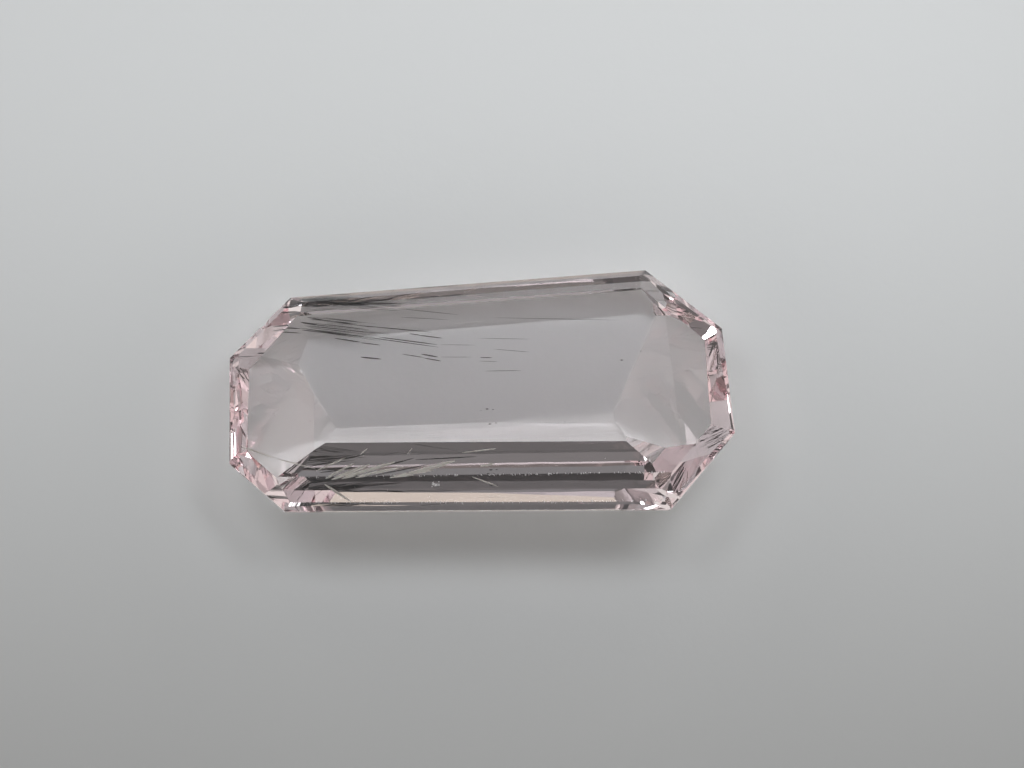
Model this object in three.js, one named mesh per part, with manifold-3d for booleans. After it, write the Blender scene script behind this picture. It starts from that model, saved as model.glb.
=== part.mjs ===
// A long, eight-sided step cut of pale pink kunzite, ground and polished out of one crystal.
//
// It is cut the way a stone is cut on the wheel. A rough block is ground away one flat facet at a time:
// the table on top, two rows of crown facets around it, a thin girdle, and rows of pavilion facets below
// that meet in a narrow keel. The cutter worked by eye, so no two sides match. A finished stone of this
// shape tips over and lies on one broad pavilion facet, and that is how it is laid down at the end.
// Millimetres, +Z up, with the north side of the stone towards +Y.

import * as THREE from 'three';
import { mergeVertices } from 'three/addons/utils/BufferGeometryUtils.js';
import Module from 'manifold-3d';

const wasm = await Module();
wasm.setup();

// Heights over and under the upper edge of the girdle, which is the stone's widest level
const TABLE_HEIGHT = 0.5;
const GIRDLE_THICKNESS = 0.12;
const ROUGH_SIZE = 24;

// The narrow lower row of crown facets is much steeper than the broad row over it
const STRIP_SLOPE = 48;

// The broad facet the stone comes to rest on
const NORTH_LOWEST_SLOPE = 19.1;

// The sides, going round clockwise from the north. Each side faces a direction (degrees, counter-clockwise
// from +X) and its girdle stands so far from the middle. The crown starts with a strip of the given width
// and ends at the table's edge; its broad facet may face a slightly different way from the girdle.
// Pavilion tiers run from the girdle in: how steep each one is, and how far it reaches inwards. The last
// tier reaches to the keel.
const SIDES = {
  north: {
    faces: 94.4, girdle: 3.83, strip: 0.31, table: 3.07, crownFaces: 94.1,
    pavilion: [{ slope: 74.6, reach: 0.42 }, { slope: 38.2, reach: 0.74 }, { slope: NORTH_LOWEST_SLOPE }],
  },
  northeast: {
    faces: 51, girdle: 6.76, strip: 0.29, table: 6.12, crownFaces: 49,
    pavilion: [{ slope: 75, reach: 0.5 }, { slope: 48 }],
  },
  east: {
    faces: 6.7, girdle: 8.25, strip: 0.17, table: 7.58, crownFaces: 4,
    pavilion: [{ slope: 69, reach: 0.4 }, { slope: 32.8, reach: 1.4 }, { slope: 31 }],
  },
  southeast: {
    faces: -38.5, girdle: 7.59, strip: 0.07, table: 6.92, crownFaces: -38,
    pavilion: [{ slope: 60.5, reach: 0.9 }, { slope: 38.4, reach: 0.85 }, { slope: 28.5 }],
  },
  south: {
    faces: -89.9, girdle: 4.23, strip: 0.21, table: 3.14, crownFaces: -89.5,
    pavilion: [
      { slope: 53, reach: 1.34 },
      { slope: 36.3, reach: 1.61 },
      { slope: 19.3, reach: 0.74 },
      { slope: 0 },
    ],
  },
  southwest: {
    faces: -132.2, girdle: 7.56, strip: 0.08, table: 7.04, crownFaces: -133,
    pavilion: [{ slope: 69, reach: 0.77 }, { slope: 40.6, reach: 0.44 }, { slope: 30.6 }],
  },
  west: {
    faces: 180.5, girdle: 8.48, strip: 0.13, table: 7.82, crownFaces: 179,
    pavilion: [{ slope: 65.2, reach: 0.59 }, { slope: 33.8, reach: 2.2 }, { slope: 29.5 }],
  },
  northwest: {
    faces: 136.2, girdle: 6.98, strip: 0.26, table: 6.39, crownFaces: 140,
    pavilion: [{ slope: 76.2, reach: 0.35 }, { slope: 39.5 }],
  },
};

// The stone lies on the lowest pavilion facet of its north side
const RESTING_SIDE = SIDES.north;

// Small shell-shaped chips knocked out of the girdle's edge: where, and the radius of the shell
const CHIPS = [
  { x: -7.42, y: 2.46, z: 0.06, radius: 0.24 },
  { x: -7.74, y: 2.0, z: 0.02, radius: 0.12 },
  { x: 6.55, y: -4.09, z: 0.02, radius: 0.12 },
];
const CHIP_AROUND = 20;
const CHIP_DOWN = 14;

const COLOUR = new THREE.Color(0.82, 0.7, 0.76);
const ROUGHNESS = 0.04;

const UP = new THREE.Vector3(0, 0, 1);
const DOWN = new THREE.Vector3(0, 0, -1);
const radians = THREE.MathUtils.degToRad;
const degrees = THREE.MathUtils.radToDeg;

function toSolid(geometry) {
  const plain = geometry.clone();
  plain.deleteAttribute('normal');
  plain.deleteAttribute('uv');
  const joined = mergeVertices(plain);
  return new wasm.Manifold(new wasm.Mesh({
    numProp: 3,
    vertProperties: new Float32Array(joined.attributes.position.array),
    triVerts: new Uint32Array(joined.index.array),
  }));
}

function toGeometry(solid) {
  const mesh = solid.getMesh();
  const geometry = new THREE.BufferGeometry();
  geometry.setAttribute('position', new THREE.BufferAttribute(new Float32Array(mesh.vertProperties), 3));
  geometry.setIndex(new THREE.BufferAttribute(new Uint32Array(mesh.triVerts), 1));
  return geometry;
}

// The outward direction of a facet: slope 0 lies level and 90 stands upright; upright is +1 on the crown
// and -1 on the pavilion.
function facetNormal(faces, slope, upright) {
  const level = Math.sin(radians(slope));
  return new THREE.Vector3(
    level * Math.cos(radians(faces)),
    level * Math.sin(radians(faces)),
    upright * Math.cos(radians(slope)),
  );
}

// A point so far from the middle, in the direction a side faces, at a given height
function pointOut(faces, distance, height) {
  return new THREE.Vector3(
    distance * Math.cos(radians(faces)),
    distance * Math.sin(radians(faces)),
    height,
  );
}

// Grinds the stone flat: everything beyond the plane through the point is taken off
function grind(stone, normal, point) {
  const waste = new THREE.BoxGeometry(2 * ROUGH_SIZE, 2 * ROUGH_SIZE, 2 * ROUGH_SIZE);
  waste.translate(0, 0, ROUGH_SIZE + normal.dot(point));
  waste.applyQuaternion(new THREE.Quaternion().setFromUnitVectors(UP, normal));
  return stone.subtract(toSolid(waste));
}

function cutCrown(stone, side) {
  const { faces, girdle, strip, table, crownFaces } = side;
  const stripTop = strip * Math.tan(radians(STRIP_SLOPE));
  const crownSlope = degrees(Math.atan2(TABLE_HEIGHT - stripTop, girdle - strip - table));
  let cut = grind(stone, facetNormal(faces, 90, 1), pointOut(faces, girdle, 0));
  cut = grind(cut, facetNormal(faces, STRIP_SLOPE, 1), pointOut(faces, girdle, 0));
  return grind(cut, facetNormal(crownFaces, crownSlope, 1), pointOut(faces, table, TABLE_HEIGHT));
}

function cutPavilion(stone, side) {
  let cut = stone;
  let distance = side.girdle;
  let height = -GIRDLE_THICKNESS;
  for (const { slope, reach = 0 } of side.pavilion) {
    cut = grind(cut, facetNormal(side.faces, slope, -1), pointOut(side.faces, distance, height));
    distance -= reach;
    height -= reach * Math.tan(radians(slope));
  }
  return cut;
}

function chip(stone, { x, y, z, radius }) {
  const shell = new THREE.SphereGeometry(radius, CHIP_AROUND, CHIP_DOWN);
  shell.translate(x, y, z);
  return stone.subtract(toSolid(shell));
}

// Turns the finished stone so the resting facet is underneath, and stands it on the origin
function layDown(geometry) {
  const tiers = RESTING_SIDE.pavilion;
  const resting = facetNormal(RESTING_SIDE.faces, tiers[tiers.length - 1].slope, -1);
  geometry.applyQuaternion(new THREE.Quaternion().setFromUnitVectors(resting, DOWN));
  geometry.computeBoundingBox();
  const { min, max } = geometry.boundingBox;
  geometry.translate(-(min.x + max.x) / 2, -(min.y + max.y) / 2, -min.z);
}

let stone = toSolid(new THREE.BoxGeometry(ROUGH_SIZE, ROUGH_SIZE, ROUGH_SIZE));
stone = grind(stone, UP, new THREE.Vector3(0, 0, TABLE_HEIGHT));
for (const side of Object.values(SIDES)) {
  stone = cutCrown(stone, side);
  stone = cutPavilion(stone, side);
}
for (const spot of CHIPS) {
  stone = chip(stone, spot);
}

const gemGeometry = toGeometry(stone);
layDown(gemGeometry);

const gemMaterial = new THREE.MeshStandardMaterial({ color: COLOUR, roughness: ROUGHNESS, metalness: 0 });
const gem = new THREE.Mesh(gemGeometry, gemMaterial);
gem.name = 'kunzite_gem';

const part = new THREE.Group();
part.name = 'kunzite';
part.add(gem);

export default part;
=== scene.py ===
"""A long step-cut kunzite lying on pale paper: its looks, its inclusions, the paper and the light."""

import math
import random

import bpy
from mathutils import Matrix, Vector


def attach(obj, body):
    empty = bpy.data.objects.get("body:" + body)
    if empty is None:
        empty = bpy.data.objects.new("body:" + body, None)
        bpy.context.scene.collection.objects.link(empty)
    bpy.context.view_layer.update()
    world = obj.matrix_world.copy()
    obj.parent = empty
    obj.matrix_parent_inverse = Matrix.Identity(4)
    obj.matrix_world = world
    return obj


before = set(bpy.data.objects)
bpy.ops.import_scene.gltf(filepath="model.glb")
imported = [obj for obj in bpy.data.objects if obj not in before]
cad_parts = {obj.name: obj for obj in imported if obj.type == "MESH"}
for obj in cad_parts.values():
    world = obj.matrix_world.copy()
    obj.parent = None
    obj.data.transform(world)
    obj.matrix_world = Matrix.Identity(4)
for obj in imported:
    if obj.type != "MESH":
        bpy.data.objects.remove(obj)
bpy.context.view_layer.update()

MM = 0.001
STONE = "kunzite_gem"

# The camera looks straight down. Its picture has this scale at the level of the girdle, and the middle of
# the frame falls on this pixel.
PICTURE_WIDTH_PX = 1024
PICTURE_HEIGHT_PX = 768
PX_PER_MM = 29.8
MIDDLE_PX = (482, 391)
GIRDLE_LEVEL = 3.2 * MM
CAMERA_DISTANCE = 420 * MM
SENSOR_WIDTH = 36
NEAREST_SEEN = 10 * MM
FARTHEST_SEEN = 10

# Kunzite bends light this much
REFRACTIVE_INDEX = 1.665

# Light goes round inside the stone many times before it leaves, so it may turn back this often. Light that
# has met a dull surface on its way is blurred this much, from 0 to 1, at the polished ones.
INNER_REFLECTIONS = 24
REFLECTION_BLUR = 0.25

# Rays that look for the stone's upper facets start at this height
OVER_THE_STONE = 20 * MM
DOWN = Vector((0, 0, -1))


def on_picture(px, py):
    """The place across the table that a pixel of the picture looks at, in metres."""
    return (px - MIDDLE_PX[0]) / PX_PER_MM * MM, (MIDDLE_PX[1] - py) / PX_PER_MM * MM


class Value:
    """A number that varies over a surface. Arithmetic on it adds Math nodes."""

    def __init__(self, tree, socket):
        self.tree = tree
        self.socket = socket

    def combine(self, operation, first, second):
        node = self.tree.nodes.new("ShaderNodeMath")
        node.operation = operation
        for place, given in zip(node.inputs, (first, second)):
            if isinstance(given, Value):
                self.tree.links.new(given.socket, place)
            else:
                place.default_value = given
        return Value(self.tree, node.outputs[0])

    def __add__(self, other):
        return self.combine("ADD", self, other)

    def __radd__(self, other):
        return self.combine("ADD", other, self)

    def __mul__(self, other):
        return self.combine("MULTIPLY", self, other)

    def __rmul__(self, other):
        return self.combine("MULTIPLY", other, self)

    def __truediv__(self, other):
        return self.combine("DIVIDE", self, other)

    def __rtruediv__(self, other):
        return self.combine("DIVIDE", other, self)

    def angle_from(self, other):
        return self.combine("ARCTAN2", self, other)


class Shading:
    """A node tree that is being filled in, for a material or for the world."""

    def __init__(self, owner):
        owner.use_nodes = True
        self.tree = owner.node_tree
        self.tree.nodes.clear()

    def node(self, kind, settings=None, **inputs):
        """Adds a node: its type, its settings, then what goes into its sockets."""
        node = self.tree.nodes.new("ShaderNode" + kind)
        for name, setting in (settings or {}).items():
            if name == "stops":
                self.set_stops(node.color_ramp, setting)
            else:
                setattr(node, name, setting)
        for name, given in inputs.items():
            self.feed(node.inputs[name.replace("_", " ")], given)
        return node

    def feed(self, socket, given):
        if isinstance(given, Value):
            self.tree.links.new(given.socket, socket)
        elif isinstance(given, bpy.types.NodeSocket):
            self.tree.links.new(given, socket)
        else:
            socket.default_value = given

    def set_stops(self, ramp, stops):
        while len(ramp.elements) < len(stops):
            ramp.elements.new(1.0)
        for element, (place, colour) in zip(ramp.elements, stops):
            element.position = place
            element.color = (*colour, 1.0)

    def value(self, node, output=0):
        return Value(self.tree, node.outputs[output])

    def mix_colours(self, share, first, second):
        """Goes from the first colour to the second as the share goes from 0 to 1."""
        node = self.tree.nodes.new("ShaderNodeMix")
        node.data_type = "RGBA"
        sockets = {socket.identifier: socket for socket in (*node.inputs, *node.outputs)}
        self.feed(sockets["Factor_Float"], share)
        self.feed(sockets["A_Color"], first)
        self.feed(sockets["B_Color"], second)
        return sockets["Result_Color"]


def grey(level):
    return (level, level, level)


# Camera
camera_data = bpy.data.cameras.new("camera")
camera_data.sensor_width = SENSOR_WIDTH
camera_data.lens = SENSOR_WIDTH * CAMERA_DISTANCE / (PICTURE_WIDTH_PX / PX_PER_MM * MM)
camera_data.clip_start = NEAREST_SEEN
camera_data.clip_end = FARTHEST_SEEN
camera = bpy.data.objects.new("camera", camera_data)
camera_x, camera_y = on_picture(PICTURE_WIDTH_PX / 2, PICTURE_HEIGHT_PX / 2)
camera.location = (camera_x, camera_y, GIRDLE_LEVEL + CAMERA_DISTANCE)
bpy.context.scene.collection.objects.link(camera)
bpy.context.scene.camera = camera
bpy.context.scene.view_settings.view_transform = "Standard"

light_paths = bpy.context.scene.cycles
light_paths.max_bounces = INNER_REFLECTIONS
light_paths.glossy_bounces = INNER_REFLECTIONS
light_paths.transmission_bounces = INNER_REFLECTIONS
light_paths.blur_glossy = REFLECTION_BLUR

# The stone's facets, as they lie in the frame
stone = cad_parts[STONE]

# The table is the broadest facet among those whose normals rise at least this much. Faces whose normals
# agree to so many digits lie in one facet.
TABLE_RISE = 0.8
NORMAL_DIGITS = 3


def broadest_facet(mesh, facing):
    """The normal and a corner of the flat area that is largest among the faces which pass the test."""
    areas = {}
    for face in mesh.polygons:
        if facing(face.normal):
            key = tuple(round(part, NORMAL_DIGITS) for part in face.normal)
            area, corner = areas.get(key, (0.0, None))
            areas[key] = (area + face.area, mesh.vertices[face.vertices[0]].co.copy())
    normal, (area, corner) = max(areas.items(), key=lambda item: item[1][0])
    return Vector(normal).normalized(), corner


TABLE_NORMAL, TABLE_CORNER = broadest_facet(stone.data, lambda normal: normal.z > TABLE_RISE)


def bent_into(normal):
    """The way a line of sight straight down goes on inside the stone, below a facet with this normal."""
    slowed = 1 / REFRACTIVE_INDEX
    meets = -normal.dot(DOWN)
    goes = math.sqrt(1 - slowed**2 * (1 - meets**2))
    return DOWN * slowed + normal * (slowed * meets - goes)


def on_table(px, py):
    """The place on the plane of the table that the picture shows at this pixel."""
    x, y = on_picture(px, py)
    aside = TABLE_NORMAL.x * (x - TABLE_CORNER.x) + TABLE_NORMAL.y * (y - TABLE_CORNER.y)
    return Vector((x, y, TABLE_CORNER.z - aside / TABLE_NORMAL.z))


def under_table(px, py, depth):
    """The place inside the stone that the picture shows at this pixel, so deep under the table."""
    return on_table(px, py) + bent_into(TABLE_NORMAL) * depth


def on_stone(px, py):
    """The place and facet on top of the stone at this pixel, or None beside it."""
    x, y = on_picture(px, py)
    hit, place, normal, _ = stone.ray_cast(Vector((x, y, OVER_THE_STONE)), DOWN)
    return (place, normal) if hit else None


def under_stone(px, py, depth):
    """The place inside the stone that the picture shows at this pixel, so deep under the facet there."""
    place, normal = on_stone(px, py)
    return place + bent_into(normal) * depth


def deselect_all():
    if bpy.context.object and bpy.context.object.mode != "OBJECT":
        bpy.ops.object.mode_set(mode="OBJECT")
    bpy.ops.object.select_all(action="DESELECT")


def place_copy(model, matrix, name):
    """A copy of a modelled shape, with a mesh of its own, put in place."""
    mesh = model.data.copy()
    mesh.transform(matrix)
    copy = bpy.data.objects.new(name, mesh)
    bpy.context.scene.collection.objects.link(copy)
    return copy


def join(pieces, name):
    deselect_all()
    for piece in pieces:
        piece.select_set(True)
    bpy.context.view_layer.objects.active = pieces[0]
    bpy.ops.object.join()
    pieces[0].name = name
    return pieces[0]


def dress(piece, material):
    piece.data.materials.clear()
    piece.data.materials.append(material)


def between(start, end, width):
    """The matrix that lays a shape, one long and one wide, along a line."""
    along = end - start
    turn_to = along.to_track_quat("Z", "Y").to_matrix().to_4x4()
    stretch = Matrix.Diagonal((width, width, along.length, 1))
    return Matrix.Translation(start) @ turn_to @ stretch


# A needle: six-sided, pointed at both ends, one long and one wide. It starts as a small ring, and each step
# goes on so far along it and makes it so many times as wide.
NEEDLE_SIDES = 6
NEEDLE_TIP = 0.1
NEEDLE_STEPS = [(0.12, 3.6), (0.33, 1.38), (0.35, 0.86), (0.2, 0.23)]

deselect_all()
bpy.ops.mesh.primitive_circle_add(
    vertices=NEEDLE_SIDES, radius=NEEDLE_TIP, fill_type="NGON", location=(0, 0, 0))
needle_model = bpy.context.object
bpy.ops.object.mode_set(mode="EDIT")
bpy.ops.mesh.select_all(action="SELECT")
for rise, widening in NEEDLE_STEPS:
    bpy.ops.mesh.extrude_region_move(TRANSFORM_OT_translate={"value": (0, 0, rise)})
    bpy.ops.transform.resize(value=(widening, widening, widening))
bpy.ops.mesh.select_all(action="SELECT")
bpy.ops.mesh.normals_make_consistent(inside=False)
bpy.ops.object.mode_set(mode="OBJECT")

# The needles that can be told apart. In this list and the ones below, a line starts and ends at two pixels
# of the picture, lies so deep in the stone and is so wide, both in millimetres.
NEEDLES = [
    ((306, 317), (330, 321), 0.9, 0.035),
    ((330, 320.5), (352, 324), 1.0, 0.03),
    ((356, 325), (431, 332), 1.1, 0.035),
    ((300, 322), (318, 325), 0.8, 0.06),
    ((302, 325.5), (389, 334), 1.0, 0.03),
    ((300, 328), (372, 338), 1.2, 0.04),
    ((362, 336.5), (438, 347), 1.3, 0.03),
    ((379, 337), (437, 344.5), 1.4, 0.04),
    ((301, 330), (356, 336), 1.1, 0.03),
    ((334, 338), (360, 342), 1.5, 0.045),
    ((360, 342.5), (380, 345), 1.5, 0.035),
    ((360, 357), (381, 359), 1.8, 0.05),
    ((402, 354), (424, 357.5), 1.6, 0.03),
    ((424, 358), (441, 361), 1.6, 0.04),
    ((421, 354), (438, 357), 1.5, 0.05),
    ((409, 333.5), (420, 335), 1.2, 0.035),
    ((418, 335), (442, 338), 1.2, 0.04),
    ((318, 303.5), (350, 309), 0.7, 0.035),
    ((300, 300.5), (322, 303), 0.5, 0.08),
    ((345, 304), (402, 306), 0.6, 0.06),
    ((400, 308.5), (458, 314.5), 0.8, 0.018),
    ((400, 317), (448, 319.5), 0.9, 0.016),
    ((485, 371), (521, 370.5), 2.0, 0.018),
    ((480, 357.5), (492, 357.5), 1.8, 0.03),
    ((479, 361), (498, 361.5), 1.8, 0.014),
    ((494, 349), (530, 352), 1.6, 0.014),
    ((478, 338), (530, 339), 1.5, 0.012),
    ((495, 317.5), (620, 320), 1.0, 0.013),
    ((440, 344.5), (475, 345), 1.4, 0.012),
    ((440, 357), (472, 357), 1.6, 0.012),
    ((236, 355), (256, 357.5), 0.5, 0.03),
    ((274, 327), (300, 328.5), 0.6, 0.05),
    ((274, 331.5), (301, 333), 0.6, 0.04),
    ((282, 306), (299, 305.5), 0.3, 0.07),
    ((280, 311), (300, 313), 0.4, 0.06),
]

# Their right ends lie a little deeper than their left ends, so many times
NEEDLE_DIP = 1.08

needles_and_painted_reflections = []
for start_px, end_px, depth, width in NEEDLES:
    start = under_table(*start_px, depth * MM)
    end = under_table(*end_px, depth * MM * NEEDLE_DIP)
    needles_and_painted_reflections.append(place_copy(needle_model, between(start, end, width * MM), "needle"))

# Two thick bundles beside the upper edge of the table, too dense to tell their needles apart: how many,
# where they start on the picture, how long they are there, how much they fall, how deep they lie, and how
# wide they are
BUNDLES = [
    {"count": 40, "left": (294, 350), "top": (299, 307), "length": (18, 60), "fall": (0.02, 0.09),
     "depth": (0.4, 0.9), "width": (0.012, 0.034)},
    {"count": 22, "left": (297, 330), "top": (316, 331), "length": (22, 80), "fall": (0.09, 0.14),
     "depth": (0.7, 1.3), "width": (0.01, 0.022)},
]
BUNDLE_DIP = 0.1
GROWTH_SEED = 11

growth = random.Random(GROWTH_SEED)
for bundle in BUNDLES:
    for number in range(bundle["count"]):
        left = growth.triangular(*bundle["left"], bundle["left"][0])
        top = growth.uniform(*bundle["top"])
        length = growth.uniform(*bundle["length"])
        fall = growth.uniform(*bundle["fall"])
        depth = growth.uniform(*bundle["depth"])
        width = growth.uniform(*bundle["width"])
        start = under_table(left, top, depth * MM)
        end = under_table(left + length, top + fall * length, (depth + BUNDLE_DIP) * MM)
        needles_and_painted_reflections.append(place_copy(needle_model, between(start, end, width * MM), "needle"))

# Painted reflections: dark needle shapes near the lower side, under the crown's broad lower facet, that
# stand in for the dark streaks of needles reflected in the lower facets
DARK_PAINTED_REFLECTIONS = [
    ((310, 466.5), (366, 454), 0.35, 0.055),
    ((350, 475), (414, 458), 0.45, 0.06),
    ((372, 477.5), (430, 464), 0.5, 0.045),
    ((306, 484), (340, 478), 0.3, 0.08),
    ((309, 488.5), (348, 484), 0.35, 0.08),
    ((416, 459.5), (476, 456.5), 0.45, 0.05),
    ((320, 472.5), (354, 468), 0.3, 0.045),
]

# Painted reflections: pale needle shapes that stand in for the pale streaks of needles reflected in the
# lower facets. Most fan out from the lower left corner.
PALE_PAINTED_REFLECTIONS = [
    ((326, 478.5), (355, 463), 0.16, 0.09),
    ((332, 479.5), (370, 464.5), 0.2, 0.13),
    ((342, 478.5), (395, 462), 0.26, 0.14),
    ((356, 477.5), (404, 466.5), 0.3, 0.09),
    ((404, 475), (455, 460.5), 0.26, 0.17),
    ((390, 477.5), (434, 470), 0.36, 0.09),
    ((325, 484), (351, 501), 0.12, 0.1),
    ((317, 470.5), (346, 457.5), 0.2, 0.07),
    ((360.5, 454.5), (368, 448), 0.15, 0.04),
    ((407.5, 454), (412.5, 448), 0.15, 0.03),
    ((462, 452.5), (496, 448.5), 0.25, 0.045),
    ((472, 476.5), (498, 486), 0.15, 0.05),
    ((480, 466), (494, 463.5), 0.25, 0.09),
    ((241, 447), (276, 458), 0.12, 0.06),
    ((278, 459), (316, 468.5), 0.15, 0.05),
]


def lines_under_crown(lines, name):
    """A needle for each line, under whichever facets the picture shows at its ends."""
    placed = []
    for start_px, end_px, depth, width in lines:
        start = under_stone(*start_px, depth * MM)
        end = under_stone(*end_px, depth * MM)
        placed.append(place_copy(needle_model, between(start, end, width * MM), name))
    return placed


# Dark shapes that paint reflections of needles join the real needles in one piece
needles_and_painted_reflections += lines_under_crown(DARK_PAINTED_REFLECTIONS, "needle")
needles_and_reflections_piece = join(needles_and_painted_reflections, "needles_and_painted_reflections")
# The pale shapes that paint reflections of needles make one piece
pale_reflections_piece = join(lines_under_crown(PALE_PAINTED_REFLECTIONS, "pale_reflection_streak"), "pale_painted_reflections")
bpy.data.objects.remove(needle_model)


def uneven_ball(subdivisions, unevenness, outwards, seed):
    """A ball of radius one, made of triangles, with its corners pushed about."""
    deselect_all()
    bpy.ops.mesh.primitive_ico_sphere_add(subdivisions=subdivisions, radius=1, location=(0, 0, 0))
    ball = bpy.context.object
    bpy.ops.object.mode_set(mode="EDIT")
    bpy.ops.mesh.select_all(action="SELECT")
    bpy.ops.transform.vertex_random(offset=unevenness, uniform=0.0, normal=outwards, seed=seed)
    bpy.ops.object.mode_set(mode="OBJECT")
    return ball


# Crystal specks shut in under the table: the pixel that shows each one, how deep it lies, how big it is
GRAINS = [
    (622, 360, 1.6, 0.03),
    (641, 351, 1.2, 0.018),
    (487, 409, 2.4, 0.03),
    (493, 409.5, 2.4, 0.018),
    (481, 410.5, 2.4, 0.012),
    (490, 424, 2.6, 0.032),
    (496, 423, 2.6, 0.02),
    (565, 422, 2.2, 0.014),
    (310, 421, 2.2, 0.016),
    (566, 399, 2.0, 0.01),
    (655, 396, 1.5, 0.012),
]
GRAIN_LENGTH = 1.7
GRAIN_WIDTH = 0.6

grain_model = uneven_ball(subdivisions=2, unevenness=0.22, outwards=0.3, seed=5)
grains = []
for px, py, depth, size in GRAINS:
    spot = under_table(px, py, depth * MM)
    length = size * GRAIN_LENGTH * MM
    width = size * GRAIN_WIDTH * MM
    shape = Matrix.Translation(spot) @ Matrix.Diagonal((length, width, width, 1))
    grains.append(place_copy(grain_model, shape, "grain"))
bpy.data.objects.remove(grain_model)
grains_piece = join(grains, "grains")


def lying(place, normal, turned, length, width, height):
    """The matrix that lays a crumb on a facet, turned about the facet's normal."""
    flat = normal.to_track_quat("Z", "X").to_matrix().to_4x4()
    stretch = Matrix.Diagonal((length, width, height, 1))
    return Matrix.Translation(place) @ flat @ Matrix.Rotation(turned, 4, "Z") @ stretch


# Scuffs: crumbs of chipped stone along the edges that rub. Each edge runs between two pixels, and has so
# many crumbs of at most this length and width. Most crumbs are much shorter.
SCUFFED_EDGES = [
    ((286, 477.5), (668, 471.8), 130, 0.055, 0.016),
    ((300, 502.6), (560, 501.6), 70, 0.07, 0.02),
    ((560, 501.4), (670, 499.5), 30, 0.06, 0.02),
    ((636, 277), (637, 291), 12, 0.04, 0.012),
    ((247, 386), (247, 444), 10, 0.04, 0.012),
    ((640, 291.5), (706, 350.5), 16, 0.04, 0.012),
]
SCUFF_SPREAD_PX = 0.35
SCUFF_TURN = 0.25
SCUFF_LENGTH_SHARE = (0.2, 1.0)
SCUFF_WIDTH_SHARE = (0.4, 1.0)
SCUFF_HEIGHT = 0.5
SCUFFING_SEED = 23

# A crumb is plain, because there are hundreds
crumb_model = uneven_ball(subdivisions=1, unevenness=0.25, outwards=0.2, seed=9)
crumbs = []
scuffing = random.Random(SCUFFING_SEED)
for start, end, count, longest, widest in SCUFFED_EDGES:
    for number in range(count):
        share = scuffing.random()
        px = start[0] + (end[0] - start[0]) * share
        py = start[1] + (end[1] - start[1]) * share + scuffing.gauss(0, SCUFF_SPREAD_PX)
        found = on_stone(px, py)
        if found:
            length = scuffing.uniform(*SCUFF_LENGTH_SHARE) ** 2 * longest * MM
            width = scuffing.uniform(*SCUFF_WIDTH_SHARE) * widest * MM
            turned = scuffing.gauss(0, SCUFF_TURN)
            shape = lying(*found, turned, length, width, width * SCUFF_HEIGHT)
            crumbs.append(place_copy(crumb_model, shape, "crumb"))

# Dust all over the stone
DUST_COUNT = 46
DUST_ACROSS_PX = (250, 715)
DUST_DOWN_PX = (300, 505)
DUST_SIZE = (0.003, 0.011)
DUST_LENGTH = 1.6

for number in range(DUST_COUNT):
    found = on_stone(scuffing.uniform(*DUST_ACROSS_PX), scuffing.uniform(*DUST_DOWN_PX))
    if found:
        size = scuffing.uniform(*DUST_SIZE) * MM
        shape = lying(*found, 0, size * DUST_LENGTH, size, size)
        crumbs.append(place_copy(crumb_model, shape, "crumb"))

# A small smear of polish, in the middle and spread in both directions round this pixel
SMEAR_COUNT = 16
SMEAR_ACROSS_PX = (436, 2.6)
SMEAR_DOWN_PX = (484, 1.0)
SMEAR_SIZE = (0.01, 0.028)
SMEAR_LENGTH = 1.8
SMEAR_HEIGHT = 0.4
SMEAR_TURN = 3

for number in range(SMEAR_COUNT):
    found = on_stone(scuffing.gauss(*SMEAR_ACROSS_PX), scuffing.gauss(*SMEAR_DOWN_PX))
    if found:
        size = scuffing.uniform(*SMEAR_SIZE) * MM
        turned = scuffing.random() * SMEAR_TURN
        shape = lying(*found, turned, size * SMEAR_LENGTH, size, size * SMEAR_HEIGHT)
        crumbs.append(place_copy(crumb_model, shape, "crumb"))
bpy.data.objects.remove(crumb_model)
crumbs_piece = join(crumbs, "edge_scuffs")

# Kunzite: clear, very pale pink, and deeper pink where light crosses a lot of it. The polish is not quite
# perfect: it is a little wavy, with faint hairlines that run along the stone.
kunzite = bpy.data.materials.new("kunzite")
shading = Shading(kunzite)
place = shading.node("TexCoord").outputs["Object"]
waves = shading.node("TexNoise", Vector=place, Scale=420.0, Detail=2.0)
lengthwise = shading.node("Mapping", Vector=place, Scale=(180.0, 9000.0, 9000.0))
hairs = shading.value(shading.node("TexNoise", Vector=lengthwise.outputs[0], Scale=1.0, Detail=1.0))
hairline = shading.value(shading.node("MapRange", Value=hairs, From_Min=0.62, From_Max=0.72))
wavy = shading.node("Bump", Height=shading.value(waves), Strength=0.02, Distance=0.0002)
surface = shading.node(
    "BsdfPrincipled",
    Base_Color=(1.0, 1.0, 1.0, 1.0),
    Transmission_Weight=1.0,
    IOR=REFRACTIVE_INDEX,
    Roughness=hairline * 0.05,
    Normal=wavy.outputs[0],
)
tint = shading.node("VolumeAbsorption", Color=(0.93, 0.35, 0.45, 1.0), Density=15.0)
shading.node("OutputMaterial", Surface=surface.outputs[0], Volume=tint.outputs[0])
for slot in stone.material_slots:
    slot.material = kunzite

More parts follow.
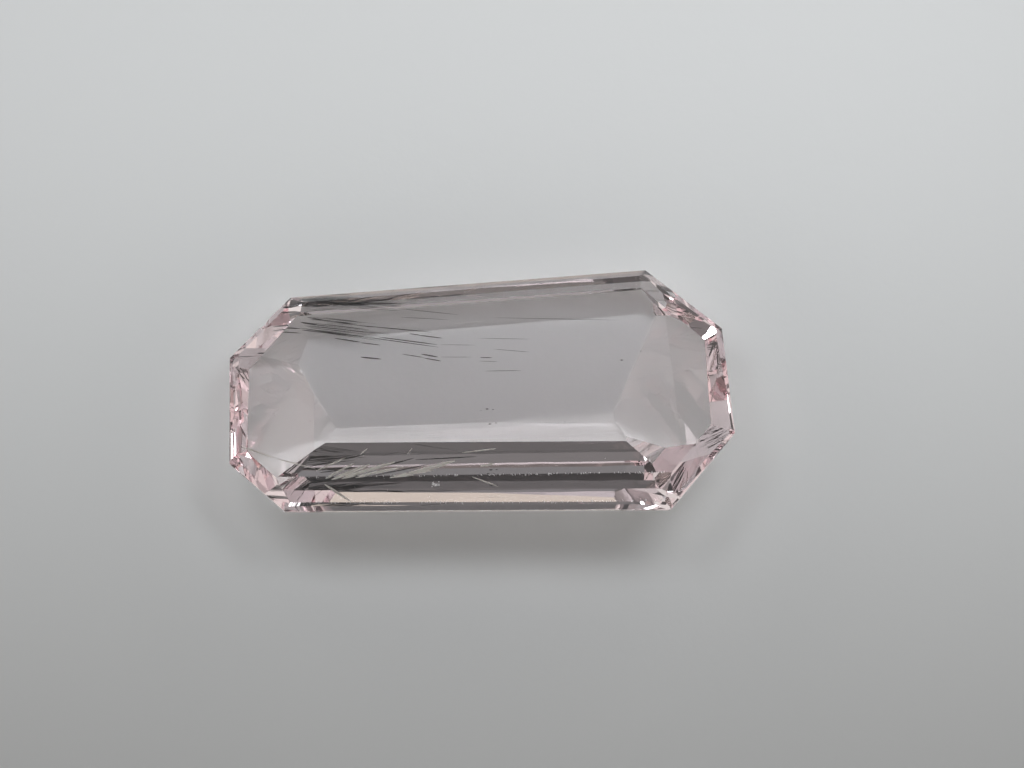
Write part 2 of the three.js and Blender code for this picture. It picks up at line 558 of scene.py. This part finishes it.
# The needles and grains: a dark, slightly brown mineral with a dull lustre. The same dark colour paints the
# dark reflection streaks near the lower side.
DARK_STOPS = [(0.35, (0.012, 0.012, 0.014)), (0.7, (0.075, 0.07, 0.066))]
dark_mineral_and_reflection_paint = bpy.data.materials.new("dark_mineral_and_reflection_paint")
shading = Shading(dark_mineral_and_reflection_paint)
place = shading.node("TexCoord").outputs["Object"]
patches = shading.value(shading.node("TexNoise", Vector=place, Scale=2600.0, Detail=2.0))
shade = shading.node("ValToRGB", {"stops": DARK_STOPS}, Fac=patches)
surface = shading.node("BsdfPrincipled", Base_Color=shade.outputs[0], Roughness=0.35 + patches * 0.3)
shading.node("OutputMaterial", Surface=surface.outputs[0])
dress(needles_and_reflections_piece, dark_mineral_and_reflection_paint)
dress(grains_piece, dark_mineral_and_reflection_paint)

# Painted reflections: pale, and a little see-through, coloured to stand in for needles reflected in the
# lower facets
PALE_REFLECTION_STOPS = [(0.35, (0.86, 0.83, 0.77)), (0.65, (0.98, 0.96, 0.9))]
pale_reflection_paint = bpy.data.materials.new("pale_reflection_paint")
shading = Shading(pale_reflection_paint)
place = shading.node("TexCoord").outputs["Object"]
streak_mottle = shading.value(shading.node("TexNoise", Vector=place, Scale=5000.0, Detail=1.0))
shade = shading.node("ValToRGB", {"stops": PALE_REFLECTION_STOPS}, Fac=streak_mottle)
surface = shading.node("BsdfPrincipled", Base_Color=shade.outputs[0], Roughness=0.5, Alpha=0.85)
shading.node("OutputMaterial", Surface=surface.outputs[0])
dress(pale_reflections_piece, pale_reflection_paint)

# Crushed stone: white and matt, like ground glass
CRUSHED_STOPS = [(0.4, (0.5, 0.48, 0.49)), (0.6, (0.9, 0.88, 0.88))]
crushed = bpy.data.materials.new("crushed_stone")
shading = Shading(crushed)
place = shading.node("TexCoord").outputs["Object"]
frost = shading.value(shading.node("TexNoise", Vector=place, Scale=30000.0, Detail=1.0))
shade = shading.node("ValToRGB", {"stops": CRUSHED_STOPS}, Fac=frost)
surface = shading.node("BsdfPrincipled", Base_Color=shade.outputs[0], Roughness=0.55 + frost * 0.2)
shading.node("OutputMaterial", Surface=surface.outputs[0])
dress(crumbs_piece, crushed)

for piece in (needles_and_reflections_piece, pale_reflections_piece, grains_piece, crumbs_piece):
    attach(piece, "root")

# Paper. It lies a hair under the resting facet, so the two don't share a surface.
PAPER_GAP = 0.03 * MM
PAPER_SIZE = 1.6

deselect_all()
bpy.ops.mesh.primitive_plane_add(size=PAPER_SIZE, location=(0, 0, -PAPER_GAP))
paper = bpy.context.object
paper.name = "paper"
paper_material = bpy.data.materials.new("paper")
shading = Shading(paper_material)
place = shading.node("TexCoord").outputs["Object"]
fibres = shading.node("TexNoise", Vector=place, Scale=1100.0, Detail=4.0)
tooth = shading.node("Bump", Height=shading.value(fibres), Strength=0.35, Distance=0.00006)
surface = shading.node(
    "BsdfPrincipled", Base_Color=(0.8, 0.81, 0.81, 1.0), Roughness=0.9, Normal=tooth.outputs[0])
shading.node("OutputMaterial", Surface=surface.outputs[0])
dress(paper, paper_material)

# The room. In a strip from north over the top to south, where the long facets look, it is mostly dim, with a
# few brighter bands. A band stands so many degrees up from the north horizon, is so bright, and so warm.
HALF_TURN = 180
BLUE_LOSS = 1.5
BANDS = [
    (0, 0.2, 0.98),
    (15, 0.16, 1.0),
    (26, 0.1, 1.0),
    (34, 0.3, 1.04),
    (41, 0.66, 1.1),
    (50, 0.45, 1.03),
    (58, 0.12, 1.0),
    (68, 0.07, 1.0),
    (75, 0.16, 1.0),
    (84, 0.34, 1.0),
    (92, 0.18, 1.0),
    (99, 0.02, 1.0),
    (110, 0.03, 1.0),
    (121, 0.12, 1.0),
    (134, 0.18, 1.05),
    (148, 0.38, 0.99),
    (162, 0.36, 0.97),
    (HALF_TURN, 0.5, 1.0),
]
strip_stops = [
    (angle / HALF_TURN, (level * warmth, level, level / warmth**BLUE_LOSS)) for angle, level, warmth in BANDS
]

# To the sides the room is pale at the horizon and dim higher up
SIDE_STOPS = [
    (0.0, (0.82, 0.8, 0.77)),
    (0.3, (0.79, 0.77, 0.74)),
    (0.5, (0.65, 0.63, 0.61)),
    (0.62, grey(0.2)),
    (0.72, grey(0.06)),
]
STRIP_EDGE = 0.02
SIDES_START = 0.09

world = bpy.data.worlds.new("studio")
bpy.context.scene.world = world
shading = Shading(world)
direction = shading.node("TexCoord")
parts = shading.node("SeparateXYZ", Vector=direction.outputs["Generated"])
sideways = shading.value(parts, 0)
north = shading.value(parts, 1)
up = shading.value(parts, 2)
strip = shading.node("ValToRGB", {"stops": strip_stops}, Fac=up.angle_from(north) / math.pi)
sides = shading.node("ValToRGB", {"stops": SIDE_STOPS}, Fac=up)
aside = shading.node(
    "MapRange", {"interpolation_type": "SMOOTHSTEP"},
    Value=sideways * sideways, From_Min=STRIP_EDGE, From_Max=SIDES_START)
room = shading.mix_colours(shading.value(aside), strip.outputs[0], sides.outputs[0])
background = shading.node("Background", Color=room, Strength=1.0)
shading.node("OutputWorld", Surface=background.outputs[0])

# Two small softboxes stand close by, left and right, and each lights the paper on its own side. One is a
# little stronger.
SOFTBOXES = [("softbox_left", -1, 0.0021), ("softbox_right", 1, 0.0025)]
SOFTBOX_SIZE = 34 * MM
SOFTBOX_ASIDE = 30 * MM
SOFTBOX_NORTH = 34 * MM
SOFTBOX_HEIGHT = 72 * MM
LIT_ASIDE = 17 * MM
LIT_NORTH = 15 * MM
SOFTBOX_CONE = 43
COOL_WHITE = (0.97, 1.0, 1.03)

for name, side, power in SOFTBOXES:
    lamp_data = bpy.data.lights.new(name, "AREA")
    lamp_data.shape = "SQUARE"
    lamp_data.size = SOFTBOX_SIZE
    lamp_data.energy = power
    lamp_data.color = COOL_WHITE
    lamp_data.spread = math.radians(SOFTBOX_CONE)
    lamp = bpy.data.objects.new(name, lamp_data)
    lamp.location = (side * SOFTBOX_ASIDE, SOFTBOX_NORTH, SOFTBOX_HEIGHT)
    looks = Vector((side * LIT_ASIDE, LIT_NORTH, 0)) - lamp.location
    lamp.rotation_euler = looks.to_track_quat("-Z", "Y").to_euler()
    bpy.context.scene.collection.objects.link(lamp)
